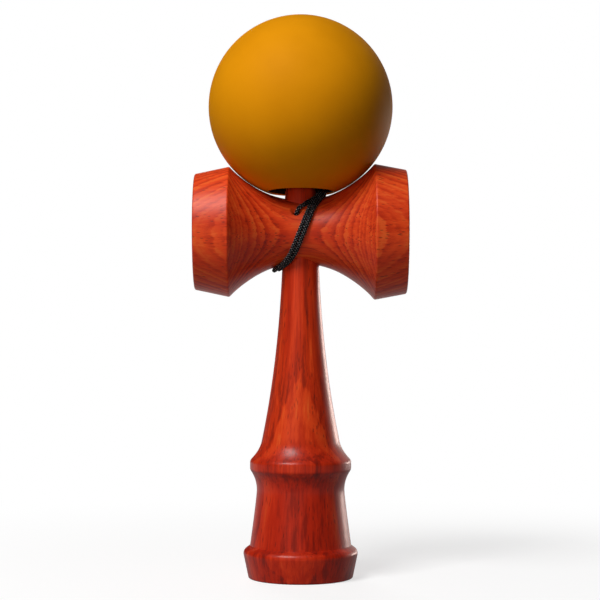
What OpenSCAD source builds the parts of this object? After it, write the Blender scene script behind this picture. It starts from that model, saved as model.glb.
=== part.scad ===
// Kendama. A turned handle, the ken, has a cup under its base and a spike at its top.
// A cross piece, the sarado, with a cup at each end is pushed onto the tapered seat below the spike.
// A ball, the tama, sits on the spike, and a string ties it to the cross piece.
// Millimetres. The handle stands on Z, the cross piece lies along X, and the front is towards -Y.

/* [Tama] */
// Diameter of the ball
tama_d = 60; // [56:0.5:66]
// Diameter of the spike hole
hole_d = 21; // [19:0.5:23]
// Width of the bevel round the rim of the spike hole
hole_bevel = 0.5; // [0.3:0.1:1]
// Depth of the spike hole, from its rim to its inner end
hole_depth = 43; // [39:0.5:46]
// Length of the cone at the inner end of the spike hole
hole_cone = 6; // [4:0.5:8]
// Diameter of the flat at the inner end, where the bead rests
hole_end_d = 9.4; // [8.6:0.2:12]
// Radius of the rounded mouth of the string hole in the top
mouth_r = 2.6; // [2:0.1:3.4]
// Angle by which the ball leans back on the spike, in degrees
tama_lean = 4; // [0:0.5:6]

/* [Sarado] */
// Length of the cross piece from rim to rim
sarado_len = 69; // [64:0.5:76]
// Height of the cross piece's axis above the floor
sarado_z = 112.7; // [106:0.1:120]
// Diameter of the waist, where the string winds
waist_d = 20.8; // [19:0.2:23]
// How much larger the radius of the saddle is than the ball's
saddle_ease = 0.8; // [0.6:0.1:1.6]
// Diameter of the rim of the big cup
big_rim_d = 40.4; // [38:0.2:43]
// Diameter of the shoulder behind the big cup
big_shoulder_d = 44.2; // [42:0.2:47]
// Depth of the big cup
big_cup_depth = 9.5; // [8:0.5:12]
// Diameter of the rim of the small cup
small_rim_d = 37.7; // [35:0.1:40]
// Diameter of the shoulder behind the small cup
small_shoulder_d = 42.3; // [40:0.1:45]
// Depth of the small cup
small_cup_depth = 8.8; // [7.5:0.1:11]
// Width of the flat lip round each cup of the cross piece
cup_lip = 0.6; // [0.4:0.1:1.5]
// Rounding of the rims
rim_edge = 0.6; // [0.3:0.1:1]
// Rounding of the shoulders
shoulder_edge = 0.7; // [0.3:0.1:1.2]

/* [Ken] */
// Diameter of the base where it stands
base_d = 34; // [31:0.5:36]
// Diameter of the ring at the top of the base
base_ring_d = 37.7; // [36:0.1:42]
// Height of the ring above the floor
base_ring_z = 8.9; // [7:0.1:9.5]
// Height of the base to the top of its bevel
base_h = 10.6; // [10:0.1:13]
// Depth of the cup under the base
base_cup_depth = 8; // [6:0.5:10]
// Width of the flat that the base stands on
base_lip = 0.8; // [0.5:0.1:1.5]
// Rounding of the lower edge of the base
base_edge = 0.6; // [0.3:0.1:1]
// Rounding of the ring
ring_edge = 1.2; // [0.6:0.1:1.4]
// Diameter of the body just above the base
body_foot_d = 33; // [31:0.5:35]
// Height of the body from the base to its waist
body_h = 18.1; // [15:0.1:22]
// Diameter of the body's waist
body_waist_d = 28.6; // [26:0.2:30]
// Height of the cove between the waist and the collar
cove_h = 6.1; // [5:0.1:8]
// Diameter of the collar
collar_d = 33; // [31.5:0.5:37]
// Height of the collar
collar_h = 3.5; // [2.5:0.1:5]
// Rounding of the collar's edges
collar_edge = 0.35; // [0.2:0.05:0.8]
// Height of the flare from the collar to the foot of the shaft
flare_h = 6; // [4.5:0.1:8]
// Diameter of the shaft at its foot
shaft_foot_d = 25.5; // [22:0.5:28]
// Diameter of the shaft just below the cross piece
seat_d = 12.1; // [11.2:0.1:13]
// Diameter of the spike just above the cross piece
neck_d = 10.2; // [9.2:0.1:11]
// Diameter of the rounded tip of the spike
tip_d = 4.4; // [3.5:0.1:5.5]

/* [String and bead] */
// Diameter of the string
cord_d = 1.4; // [1.2:0.1:1.6]
// Diameter of the bead inside the ball
bead_d = 7.4; // [6:0.2:8.2]
// Height of the bead
bead_h = 6.4; // [5:0.2:7]
// Diameter of the knot under the bead
bead_knot_d = 3.8; // [3.6:0.1:4.6]
// Diameter of the knot inside the cross piece
anchor_knot_d = 2.9; // [2.7:0.1:3.1]

/* [Fits] */
// Clearance of the cross piece round its seat on the handle
seat_gap = 0.05; // [0.02:0.01:0.1]
// Clearance between the ball and the cross piece
rest_gap = 0.35; // [0.2:0.05:0.5]
// Clearance between the string and the wood that it lies on
lay_gap = 0.2; // [0.15:0.05:0.4]
// Clearance between neighbouring strands of the string
strand_gap = 0.45; // [0.42:0.01:0.7]
// Clearance between the string and the handle
pass_gap = 0.3; // [0.2:0.05:0.6]
// Play of the string in the holes that it goes through, on the diameter
string_play = 0.7; // [0.5:0.1:1.2]
// Clearance round the knot and the bead in their seats
knot_gap = 0.15; // [0.1:0.01:0.3]
// Distance from the tip of the spike to the knot under the bead
tip_gap = 1.2; // [0.8:0.1:5]

/* [Hidden] */
$fn = 96;
// Length by which every cut runs past the surface that it opens
overrun = 1;
// Number of straight pieces in a curve of the handle and in a rounded edge
curve_steps = 18;
edge_steps = 5;

// Heights on the handle, from the floor up
waist_z = base_h + body_h;
collar_z = waist_z + cove_h;
collar_top_z = collar_z + collar_h;
shaft_foot_z = collar_top_z + flare_h;
// How far the tapered seat runs past the waist of the cross piece, below and above it
seat_lead = 2.1;
neck_lead = 1;
seat_z = sarado_z - waist_d / 2 - seat_lead;
neck_z = sarado_z + waist_d / 2 + neck_lead;
// Where the body's taper would meet its waist, as a share of the body's height
body_bend_share = 0.88;
// Control points of the flare and of the shaft, as shares of their step in radius and of their height
flare_bend_shares = [0.18, 0.5];
shaft_bend_shares = [0.2, 0.455];

// The saddle is an arc that follows the ball
saddle_r = tama_d / 2 + saddle_ease;
small_shoulder_angle = acos(1 - (small_shoulder_d - waist_d) / 2 / saddle_r);
big_shoulder_angle = acos(1 - (big_shoulder_d - waist_d) / 2 / saddle_r);
// Stretch of the saddle that the rounding of a shoulder takes up, as a share of the rounding and in degrees
shoulder_trim_share = 1.5;
shoulder_trim = shoulder_trim_share * shoulder_edge / saddle_r * 180 / PI;
saddle_steps = 40;

// The ball rests on the saddle beside the rim of its hole
tama_r = tama_d / 2;
rim_r = hole_d / 2 + hole_bevel;
rim_h = sqrt(tama_r * tama_r - rim_r * rim_r);
tama_z = sarado_z + waist_d / 2 + saddle_r - (saddle_ease - rest_gap) * tama_r / rim_h;
hole_end_h = hole_depth - rim_h;
string_hole_d = cord_d + string_play;
// Angle, in degrees, at which the rounded mouth of the string hole stops short of the ball's surface
mouth_edge = 10;
// Play of the string in the ball's own hole, where it bends over the mouth
top_hole_d = string_hole_d + 2 * lay_gap;

// Bead and knots. A knot is a ball with a flat as wide as the string, where the string enters it
bead_top_h = hole_end_h - knot_gap;
bead_low_h = bead_top_h - bead_h;
bead_end_share = 0.7;
bead_edge_share = 0.1;
bead_end_d = bead_d * bead_end_share;
bead_edge = bead_d * bead_edge_share;
bead_knot_h = bead_low_h - knot_gap - chord_h(bead_knot_d, string_hole_d);
tip_z = tama_z + bead_knot_h - bead_knot_d / 2 - tip_gap;

// Winding round the waist. The angle starts at the front, 90 is the top and 180 is the back
wind_r = cord_d / 2 + lay_gap;
rings_per_turn = 24;
// Place along X where the first strand crosses the front
front_x = -1.1;
// Sideways swing of the strands between the bottom and the top of the waist
swing = 5.2;
// Step along X from turn to turn, wider than the strands' own distance because they run aslant
turn_step = (cord_d + strand_gap) * norm([swing, waist_d / 2 + wind_r]) / (waist_d / 2 + wind_r);
// How sharply the strands step aside for the handle, draw together over the top and climb there
aside_power = 6;
nest_power = 16;
climb_power = 4;
// The first pass over the top and the last one under the bottom come closest to the handle
first_top = 90;
last_bottom = 630;
top_aside = neck_d / 2 + pass_gap + cord_d / 2 - (turn_shift(first_top) + swing);
low_aside = seat_d / 2 + pass_gap + cord_d / 2 + (turn_shift(last_bottom) - swing);
// Where the string leaves the hole in the cross piece and joins the turns, and where the turns start and stop
exit_x = -1.4;
exit_angle = 37;
lead_in_end = 75;
wind_from = 50;
wind_to = 870;
// Height of the anchor knot above the cross piece's axis
anchor_rise = 3.2;
anchor_z = sarado_z + anchor_rise;
anchor_out = seat_r(anchor_z) + seat_gap + knot_gap + anchor_knot_d / 2;
anchor = [exit_x, -sqrt(anchor_out * anchor_out - exit_x * exit_x), anchor_z];
exit = wind_place(exit_x, waist_r(exit_x) + wind_r, exit_angle);
string_dir = unit(exit - anchor);
string_tilt = atan2(-string_dir[1], string_dir[2]);
// Where the string's own hole comes out of the waist, counted from the knot, and its countersink
mouth_out = norm(exit - anchor) - wind_r;
sink_share = 0.5;
sink_w = cord_d * sink_share;
sink_top_d = string_hole_d + 2 * (sink_w + overrun);
// Length of the bend from the hole to the waist, before and after its corner
lead_bend = 2.5;

// Route of the slack behind the handle, after the winding, up to the back of the ball
slack_route = [
    [2.2, 12.4, 113.6], [1.4, 13.5, 109], [1, 14.2, 104], [0.8, 14.9, 98], [0.7, 15.7, 92],
    [0.6, 16.8, 86.5], [0.6, 18.4, 82], [0.6, 20.6, 79.6], [0.6, 23, 79.8], [0.6, 25.2, 82.2],
    [0.6, 26.8, 86.6], [0.6, 27.9, 92], [0.5, 28.8, 98], [0.4, 29.4, 104], [0.3, 29.9, 110],
    [0.2, 30.3, 117], [0.1, 30.6, 124], [0, 30.8, 132], [0, 30.9, 139], [0, 31, 146], [0, 31, 153.4]
];
// Route over the back of the ball and down its string hole, before the bead
top_route = [
    [0, 31, 153.4], [0, 29.9, 161.4], [0, 26.9, 168.9], [0, 21.9, 175.3], [0, 15.5, 180.3],
    [0, 10.6, 182.6], [0, 8, 183.4], [0, 6, 183.7], [0, 4.2, 183.4], [0, 2.9, 182.2],
    [0, 2.3, 180.4], [0, 1.9, 177.3], [0, 1.5, 173.4], [0, 1.1, 169.4], [0, 0.8, 165.4]
];
tube_sides = 8;
wind_sides = 6;
route_steps = 2;

// Plain geometry
function unit(v) = v / norm(v);
function mix(a, b, s) = a + (b - a) * s;
function tail(list, first) = [for (i = [first:len(list) - 1]) list[i]];
function chord_h(ball_d, chord_d) = sqrt(ball_d * ball_d - chord_d * chord_d) / 2;
function cap_r(mouth, depth) = (mouth * mouth + depth * depth) / (2 * depth);
function arc(centre, r, from, to, steps) =
    [for (i = [0:steps]) let (a = mix(from, to, i / steps)) centre + r * [cos(a), sin(a)]];
function bend(a, b, c, steps) =
    [for (i = [0:steps]) let (t = i / steps) mix(mix(a, b, t), mix(b, c, t), t)];
function along(from, to, shares) = [mix(to[0], from[0], shares[0]), mix(from[1], to[1], shares[1])];
// The arc of radius r that rounds the corner b of the outline a, b, c
function rounded(a, b, c, r) =
    let (u = unit(a - b), v = unit(c - b), half = acos(u * v) / 2)
    let (mid = b + unit(u + v) * r / sin(half))
    let (p = b + u * r / tan(half) - mid, q = b + v * r / tan(half) - mid)
    let (from = atan2(p[1], p[0]), turn = atan2(p[0] * q[1] - p[1] * q[0], p * q))
    arc(mid, r, from, from + turn, edge_steps);

// Radius of the handle's tapered seat, and of the waist of the cross piece at x
function seat_r(z) = mix(seat_d / 2, neck_d / 2, (z - seat_z) / (neck_z - seat_z));
function waist_r(x) = waist_d / 2 + saddle_r - sqrt(saddle_r * saddle_r - x * x);

// Winding: a point on the waist, the shape of its steps, and the line that the string follows
function wind_place(x, r, angle) = [x, -r * cos(angle), sarado_z + r * sin(angle)];
function over(angle, power) = pow(max(sin(angle), 0), power);
function under(angle, power) = pow(max(-sin(angle), 0), power);
function turn_shift(angle) = front_x + turn_step * (angle / 360 - 1);
function turn_line(angle) =
    turn_shift(angle) + swing * sin(angle)
    + top_aside * over(angle, aside_power) - low_aside * under(angle, aside_power);
function lead_in(angle) =
    let (left_share = max(lead_in_end - angle, 0) / (lead_in_end - exit_angle))
    (turn_line(exit_angle) - exit_x) * left_share * left_share;
// The three passes over the top nest in a triangle: the middle one climbs onto its neighbours
function wind_x(angle) =
    turn_line(angle) - lead_in(angle)
    - turn_step * cos(60) * floor(angle / 360) * over(angle, nest_power);
function climb(angle) = floor(angle / 360) == 1 ? turn_step * sin(60) * over(angle, climb_power) : 0;
function wind(angle) =
    let (x = wind_x(angle)) wind_place(x, waist_r(x) + wind_r + climb(angle), angle);
function wind_dir(angle) = unit(wind(angle + 1) - wind(angle - 1));

// A smooth curve through the points of a route
function spline(a, b, c, d, t) =
    b + (c - a) * t / 2 + (a * 2 - b * 5 + c * 4 - d) * t * t / 2 + ((b - c) * 3 + d - a) * t * t * t / 2;
function route_line(p) =
    let (n = len(p) - 1, q = concat([p[0] * 2 - p[1]], p, [p[n] * 2 - p[n - 1]]))
    concat([for (i = [0:n - 1], j = [0:route_steps - 1])
        spline(q[i], q[i + 1], q[i + 2], q[i + 3], j / route_steps)], [p[n]]);

// Axis of the leaning ball, and a point on it at height h from the ball's centre
lean_dir = [0, sin(tama_lean), cos(tama_lean)];
function on_axis(h) = [0, 0, tama_z] + lean_dir * h;

winding_turns = [for (i = [0:floor((wind_to - wind_from) * rings_per_turn / 360)])
    wind_from + i * 360 / rings_per_turn];
winding_last = winding_turns[len(winding_turns) - 1];
winding_start = wind(wind_from) - wind_dir(wind_from) * cord_d;
winding_end = wind(winding_last) + wind_dir(winding_last) * cord_d;
winding_line = concat([winding_start], [for (a = winding_turns) wind(a)], [winding_end]);
winding_gap = min([for (i = [0:len(winding_line) - 1], j = [i + rings_per_turn / 2:1:len(winding_line) - 1])
    norm(winding_line[i] - winding_line[j])]) - cord_d;
lead_line = concat(
    [anchor + string_dir * chord_h(anchor_knot_d, cord_d)],
    bend(exit - string_dir * lead_bend, exit, winding_start, edge_steps));
slack_line = route_line(concat([winding_end], slack_route));
top_line = concat(route_line(top_route), [on_axis(bead_knot_h + chord_h(bead_knot_d, cord_d))]);
function line_length(p) = len(p) < 2 ? 0 :
    [for (i = 1, s = norm(p[1] - p[0]); i < len(p);
          i = i + 1, s = s + (i < len(p) ? norm(p[i] - p[i - 1]) : 0)) s][len(p) - 2];
echo(str("least gap of the winding to itself: ", winding_gap));
echo(str("string lengths: lead ", line_length(lead_line), ", winding ", line_length(winding_line),
         ", slack ", line_length(slack_line), ", top ", line_length(top_line)));

// Outline of the handle, from the middle of the base up to the tip
function cove() =
    let (rise = (collar_d - body_waist_d) / 2 - collar_edge, r = cap_r(cove_h, rise))
    arc([body_waist_d / 2 + r, waist_z], r, 180, 180 - asin(cove_h / r), curve_steps);
function ken_outline() =
    let (stand = [base_d / 2, 0], ring = [base_ring_d / 2, base_ring_z])
    let (body_foot = [body_foot_d / 2, base_h], body_waist = [body_waist_d / 2, waist_z])
    let (body_mid = [body_waist_d / 2, mix(base_h, waist_z, body_bend_share)])
    let (collar_low = [collar_d / 2, collar_z], collar_top = [collar_d / 2, collar_top_z])
    let (shaft_foot = [shaft_foot_d / 2, shaft_foot_z], seat = [seat_d / 2, seat_z])
    let (flare_mid = along(collar_top, shaft_foot, flare_bend_shares))
    let (shaft_mid = along(shaft_foot, seat, shaft_bend_shares))
    let (neck = [neck_d / 2, neck_z], tip = [0, tip_z - tip_d / 2])
    let (slope = atan2((neck_d - tip_d) / 2, tip[1] - neck_z))
    concat([[0, 0]],
        rounded([0, 0], stand, ring, base_edge),
        rounded(stand, ring, body_foot, ring_edge),
        bend(body_foot, body_mid, body_waist, curve_steps),
        tail(cove(), 1),
        [collar_low + [0, collar_edge]],
        rounded(collar_low, collar_top, flare_mid, collar_edge),
        tail(bend(collar_top, flare_mid, shaft_foot, curve_steps), 2),
        tail(bend(shaft_foot, shaft_mid, seat, curve_steps), 1),
        [neck],
        arc(tip, tip_d / 2, slope, 90, curve_steps));

// Outline of the cross piece, in radius and place along X, from the small cup to the big one
function saddle_point(angle) = [waist_d / 2 + saddle_r - saddle_r * cos(angle), saddle_r * sin(angle)];
function sarado_outline() =
    let (small_rim = [small_rim_d / 2, -sarado_len / 2], big_rim = [big_rim_d / 2, sarado_len / 2])
    let (small_shoulder = saddle_point(-small_shoulder_angle))
    let (big_shoulder = saddle_point(big_shoulder_angle))
    let (from = shoulder_trim - small_shoulder_angle, to = big_shoulder_angle - shoulder_trim)
    concat([[0, -sarado_len / 2]],
        rounded([0, -sarado_len / 2], small_rim, small_shoulder, rim_edge),
        rounded(small_rim, small_shoulder, saddle_point(from), shoulder_edge),
        [for (i = [0:saddle_steps]) saddle_point(mix(from, to, i / saddle_steps))],
        rounded(saddle_point(to), big_shoulder, big_rim, shoulder_edge),
        rounded(big_shoulder, big_rim, [0, sarado_len / 2], rim_edge),
        [[0, sarado_len / 2]]);

// A round cup cut into the face at height 0, of the given mouth radius and depth, going down
module cup(mouth, depth) {
    translate([0, 0, cap_r(mouth, depth) - depth])
        sphere(r = cap_r(mouth, depth));
}

// Place of a shape that lies along the string as it leaves the anchor knot
module along_string() {
    translate(anchor)
        rotate([string_tilt, 0, 0])
            children();
}

// Place of a shape on the axis of the leaning ball
module on_ball() {
    translate([0, 0, tama_z])
        rotate([-tama_lean, 0, 0])
            children();
}

// A knot: a ball with a flat on top, as wide as the string
module knot(d) {
    difference() {
        sphere(d = d);
        translate([-d, -d, chord_h(d, cord_d)])
            cube([2 * d, 2 * d, d]);
    }
}

// A round string along a line of points, with its ends square to the two directions
module string(line, from_dir, to_dir, sides) {
    n = len(line);
    dirs = [for (i = [0:n - 1])
        i == 0 ? unit(from_dir) : i == n - 1 ? unit(to_dir) : unit(line[i + 1] - line[i - 1])];
    sideways = abs(dirs[0] * [1, 0, 0]) < cos(45) ? [1, 0, 0] : [0, 1, 0];
    ups = [for (i = 0, u = unit(cross(cross(dirs[0], sideways), dirs[0])); i < n;
        i = i + 1, u = i < n ? unit(u - dirs[i] * (u * dirs[i])) : u) u];
    points = [for (i = [0:n - 1], k = [0:sides - 1]) let (a = k * 360 / sides)
        line[i] + (ups[i] * cos(a) + cross(dirs[i], ups[i]) * sin(a)) * cord_d / 2];
    walls = [for (i = [0:n - 2], k = [0:sides - 1], half = [0, 1])
        let (a = i * sides + k, b = i * sides + (k + 1) % sides)
        half == 0 ? [a, a + sides, b + sides] : [a, b + sides, b]];
    start_cap = [for (k = [1:sides - 2]) [0, k, k + 1]];
    end_cap = [for (k = [1:sides - 2]) [(n - 1) * sides, (n - 1) * sides + k + 1, (n - 1) * sides + k]];
    polyhedron(points, concat(walls, start_cap, end_cap));
}

// Handle
module ken() {
    color("#b4572c")
        difference() {
            rotate_extrude()
                polygon(ken_outline());
            rotate([180, 0, 0])
                cup(base_d / 2 - base_edge - base_lip, base_cup_depth);
        }
}

// Cross piece
module sarado() {
    color("#a34b27")
        difference() {
            translate([0, 0, sarado_z])
                rotate([0, 90, 0])
                    rotate_extrude()
                        polygon(sarado_outline());
            translate([sarado_len / 2, 0, sarado_z])
                rotate([0, 90, 0])
                    cup(big_rim_d / 2 - rim_edge - cup_lip, big_cup_depth);
            translate([-sarado_len / 2, 0, sarado_z])
                rotate([0, -90, 0])
                    cup(small_rim_d / 2 - rim_edge - cup_lip, small_cup_depth);
            translate([0, 0, seat_z])
                cylinder(h = neck_z - seat_z, r1 = seat_r(seat_z) + seat_gap, r2 = seat_r(neck_z) + seat_gap);
            along_string() {
                sphere(d = anchor_knot_d + 2 * knot_gap);
                cylinder(h = mouth_out + overrun, d = string_hole_d);
                translate([0, 0, mouth_out - sink_w])
                    cylinder(h = sink_w + overrun, d1 = string_hole_d, d2 = sink_top_d);
            }
            translate(anchor)
                rotate([-90, 0, 0])
                    cylinder(h = -anchor[1], d = anchor_knot_d + 2 * knot_gap);
        }
}

// Ball
module tama() {
    mouth_x = top_hole_d / 2 + mouth_r;
    mouth_h = sqrt(pow(tama_r - mouth_r, 2) - mouth_x * mouth_x);
    mouth_stop = acos(mouth_x / (tama_r - mouth_r)) + mouth_edge;
    mouth = arc([mouth_x, mouth_h], mouth_r, 180, mouth_stop, 2 * edge_steps);
    mouth_top = mouth[len(mouth) - 1];
    top_h = tama_r + overrun;
    color("#b5781f")
        on_ball()
            difference() {
                sphere(r = tama_r);
                rotate_extrude()
                    polygon([
                        [0, -top_h], [rim_r + top_h - rim_h, -top_h], [hole_d / 2, hole_bevel - rim_h],
                        [hole_d / 2, hole_end_h - hole_cone], [hole_end_d / 2, hole_end_h], [0, hole_end_h]
                    ]);
                translate([0, 0, hole_end_h - overrun])
                    cylinder(h = mouth_h - hole_end_h + 2 * overrun, d = top_hole_d);
                rotate_extrude()
                    polygon(concat([[0, mouth_h]], mouth,
                        [mouth_top + [sin(mouth_stop), -cos(mouth_stop)] * mouth_r,
                         mouth_top + [mouth_r, top_h - mouth_top[1]], [0, top_h]]));
            }
}

// Bead that stops the string from pulling out of the ball
module bead() {
    bulge_r = cap_r(bead_h / 2, (bead_d - bead_end_d) / 2);
    bulge = asin(bead_h / 2 / bulge_r);
    side = arc([bead_d / 2 - bulge_r, bead_low_h + bead_h / 2], bulge_r, -bulge, bulge, curve_steps);
    low = [string_hole_d / 2, bead_low_h];
    top = [string_hole_d / 2, bead_top_h];
    color("#e8e2d2")
        on_ball()
            rotate_extrude()
                polygon(concat(
                    rounded(side[0], low, top, bead_edge),
                    rounded(low, top, side[curve_steps], bead_edge),
                    [for (i = [curve_steps:-1:0]) side[i]]));
}

// Knot under the bead
module bead_knot() {
    color("#1c1c1e")
        on_ball()
            translate([0, 0, bead_knot_h])
                knot(bead_knot_d);
}

// Knot inside the cross piece
module anchor_knot() {
    color("#1c1c1e")
        along_string()
            knot(anchor_knot_d);
}

// String from the anchor knot out onto the waist
module cord_lead() {
    color("#242426")
        string(lead_line, string_dir, wind_dir(wind_from), tube_sides);
}

// String wound round the waist
module cord_winding() {
    color("#242426")
        string(winding_line, wind_dir(wind_from), wind_dir(winding_last), wind_sides);
}

// String that hangs behind the handle
module cord_slack() {
    color("#242426")
        string(slack_line, wind_dir(winding_last), [0, 0, 1], tube_sides);
}

// String over the back of the ball and down to the knot under the bead
module cord_top() {
    color("#242426")
        string(top_line, [0, 0, 1], -lean_dir, tube_sides);
}

ken();
sarado();
tama();
bead();
bead_knot();
anchor_knot();
cord_lead();
cord_winding();
cord_slack();
cord_top();
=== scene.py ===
"""Kendama: the turned handle, the cross piece with its cups, the painted ball and the braided string.

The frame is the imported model. The handle stands on Z, the cross piece lies along X and the front is
towards -Y. All sizes are in metres, and the angles of the string's turns are in degrees.
"""
import math

import bmesh
import bpy
import numpy as np
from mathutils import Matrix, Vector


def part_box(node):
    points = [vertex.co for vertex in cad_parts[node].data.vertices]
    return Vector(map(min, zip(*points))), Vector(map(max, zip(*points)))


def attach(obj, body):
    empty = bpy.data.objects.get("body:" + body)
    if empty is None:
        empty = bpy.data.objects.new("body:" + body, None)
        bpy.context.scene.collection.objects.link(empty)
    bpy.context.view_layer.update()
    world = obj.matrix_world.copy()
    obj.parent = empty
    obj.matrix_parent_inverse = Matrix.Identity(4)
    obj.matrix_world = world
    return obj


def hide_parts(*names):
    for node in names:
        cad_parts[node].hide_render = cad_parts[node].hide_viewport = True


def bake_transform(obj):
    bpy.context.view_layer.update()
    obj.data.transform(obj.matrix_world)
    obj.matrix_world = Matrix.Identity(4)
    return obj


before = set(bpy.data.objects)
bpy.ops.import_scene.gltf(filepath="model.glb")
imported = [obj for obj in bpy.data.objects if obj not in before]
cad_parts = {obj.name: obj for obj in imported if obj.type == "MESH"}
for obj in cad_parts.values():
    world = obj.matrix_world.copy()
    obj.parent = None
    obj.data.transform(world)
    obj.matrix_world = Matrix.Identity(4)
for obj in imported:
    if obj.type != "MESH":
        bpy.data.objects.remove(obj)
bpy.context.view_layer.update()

# Ball, and the hole that the spike goes into
BALL_R = 0.030
BALL_Z = 0.153416
BALL_LEAN = math.radians(4)
HOLE_R = 0.0105
HOLE_BEVEL = 0.0005
HOLE_DEPTH = 0.043
HOLE_CONE = 0.006
HOLE_END_R = 0.0047
HOLE_EDGE = 0.0006
HOLE_RIM_EDGE = 0.000125
STRING_HOLE_R = 0.00125
MOUTH_R = 0.0026

# Cross piece. Its saddle swells a little at the contact angle, where the ball comes closest to it
SARADO_Z = 0.1127
SARADO_HALF = 0.0345
WAIST_R = 0.0104
SADDLE_R = 0.0308
CONTACT_ANGLE = 0.62
CONTACT_SPREAD = 0.25
CONTACT_RISE = 0.00034
BIG_RIM_R = 0.0202
BIG_SHOULDER_R = 0.0221
BIG_CUP_DEPTH = 0.0095
SMALL_RIM_R = 0.01885
SMALL_SHOULDER_R = 0.02115
SMALL_CUP_DEPTH = 0.0088
CUP_LIP = 0.0006
RIM_EDGE = 0.0006
SHOULDER_EDGE = 0.0007
SHOULDER_TRIM = 1.5 * SHOULDER_EDGE
LIP_EDGE = 0.00025

# Handle. A pair of lengths is a radius and a height
BASE_R = 0.017
BASE_RING = (0.01885, 0.0089)
BASE_H = 0.0106
BASE_CUP_DEPTH = 0.008
BASE_LIP = 0.0008
BASE_EDGE = 0.0006
RING_EDGE = 0.002
BODY_FOOT_R = 0.0165
BODY_WAIST = (0.0143, 0.0287)
BODY_BEND_SHARE = 0.88
COLLAR_R = 0.0165
COLLAR_Z = 0.0348
COLLAR_TOP_Z = 0.0383
COLLAR_EDGE = 0.00035
COLLAR_ROUND = 0.0018
SHAFT_FOOT = (0.01275, 0.0443)
FLARE_BEND_SHARES = (0.18, 0.5)
SHAFT_BEND_SHARES = (0.2, 0.455)
SEAT = (0.00605, 0.1002)
NECK = (0.0051, 0.1241)
SEAT_GAP = 0.00005
TIP_R = 0.0022
TIP_Z = float(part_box("ken")[1].z)

# String, its turns round the waist and its seat in the cross piece
CORD_D = 0.0014
LAY_GAP = 0.0002
STRAND_GAP = 0.00004
PASS_GAP = 0.0003
WIND_R = CORD_D / 2 + LAY_GAP
FRONT_X = -0.0003
SWING = 0.0043
ASIDE_POWER = 7
NEST_POWER = 16
NEST_ANGLE = math.pi / 3
CLIMB_POWER = 4
FIRST_TOP = 90
LAST_BOTTOM = 630
EXIT_X = -0.0014
EXIT_ANGLE = 37
LEAD_IN_END = 75
WIND_FROM = 50
WIND_TO = 860
LEAD_BEND = 0.0025
ANCHOR_RISE = 0.0032
ANCHOR_KNOT_R = 0.00145
ANCHOR_KNOT_D = 0.0009
KNOT_GAP = 0.00015
POCKET_R = ANCHOR_KNOT_R + KNOT_GAP
STRING_BORE_R = 0.00105
SINK_W = 0.0007
OVERRUN = 0.001

# Bead and the knot under it, counted along the ball's axis from its centre
BEAD_R = 0.0037
BEAD_H = 0.0064
BEAD_END_R = 0.00259
BEAD_EDGE = 0.00074
BEAD_KNOT_R = 0.0019
END_KNOT_D = 0.0011

# Route of the slack behind the handle, and over the ball's back down to the bead
SLACK_ROUTE = [
    (0.0022, 0.0124, 0.1136), (0.0014, 0.0135, 0.109), (0.001, 0.0142, 0.104), (0.0008, 0.0149, 0.098),
    (0.0007, 0.0157, 0.092), (0.0006, 0.0168, 0.0865), (0.0006, 0.0184, 0.082), (0.0006, 0.0206, 0.0796),
    (0.0006, 0.023, 0.0798), (0.0006, 0.0252, 0.0822), (0.0006, 0.0268, 0.0866), (0.0006, 0.0279, 0.092),
    (0.0005, 0.0288, 0.098), (0.0004, 0.0294, 0.104), (0.0003, 0.0299, 0.11), (0.0002, 0.0303, 0.117),
    (0.0001, 0.0306, 0.124), (0, 0.0308, 0.132), (0, 0.0309, 0.139), (0, 0.031, 0.146), (0, 0.031, 0.1534),
]
TOP_ROUTE = [
    (0, 0.031, 0.1534), (0, 0.0299, 0.1614), (0, 0.0269, 0.1689), (0, 0.0219, 0.1753), (0, 0.0155, 0.1803),
    (0, 0.0106, 0.1826), (0, 0.008, 0.1834), (0, 0.006, 0.1837), (0, 0.0042, 0.1834), (0, 0.0029, 0.1822),
    (0, 0.0023, 0.1804), (0, 0.0019, 0.1773), (0, 0.0015, 0.1734), (0, 0.0011, 0.1694), (0, 0.0008, 0.1654),
]

# Braid: strands each way, the length of a crossing, the depth of its relief and the rise over the radius
CARRIERS = 4
PICK = 0.0009
BRAID_DEPTH = 0.00024
BRAID_RISE = 0.00008
HUMP_POWER = 0.5
BRAID_SEED = 1
CAP_VALUE = 0.5

# Overhand knots: how far their ends stand apart, and the size of their coils
KNOT_OPENING = 0.35
KNOT_COIL = 0.55
KNOT_HEIGHT = 0.8

# Fineness of the meshes
SIDES = 144
CUT_SIDES = 48
BEAD_SIDES = 64
CURVE_STEPS = 40
SADDLE_STEPS = 3 * CURVE_STEPS
BALL_STEPS = 4 * CURVE_STEPS
EDGE_STEPS = 8
COLLAR_SKIP = 4
POCKET_STEPS = 24
ROUTE_STEPS = 24
WIND_STEPS = 1600
EASE_ROUNDS = 6
KNOT_STEPS = 400
LONGEST_STEP = 0.0007
BRAID_STEP = 0.00012
BRAID_SIDES = 48
MERGE_GAP = 1e-7
SLIVER = 1e-6
SHARP_ANGLE = math.radians(40)
NEAR_X = 0.9


# Plain geometry

def point(*values):
    """A point or a direction as an array."""
    return np.array(values, float)


def unit(v):
    """The same direction with length 1."""
    return v / np.linalg.norm(v, axis=-1, keepdims=True)


def mix(a, b, share):
    """The point that lies this share of the way from a to b."""
    return a + (b - a) * share


def arc(centre, radius, start, stop, steps=CURVE_STEPS):
    """Points on a circle: the centre plus the radius times cosine and sine, from start to stop."""
    a = np.linspace(start, stop, steps + 1)
    return centre + radius * np.stack([np.cos(a), np.sin(a)], 1)


def bend(a, b, c):
    """The curve from a to c that sets out towards b: a mix of two mixes."""
    t = np.linspace(0, 1, CURVE_STEPS + 1)[:, None]
    return mix(mix(a, b, t), mix(b, c, t), t)


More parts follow.
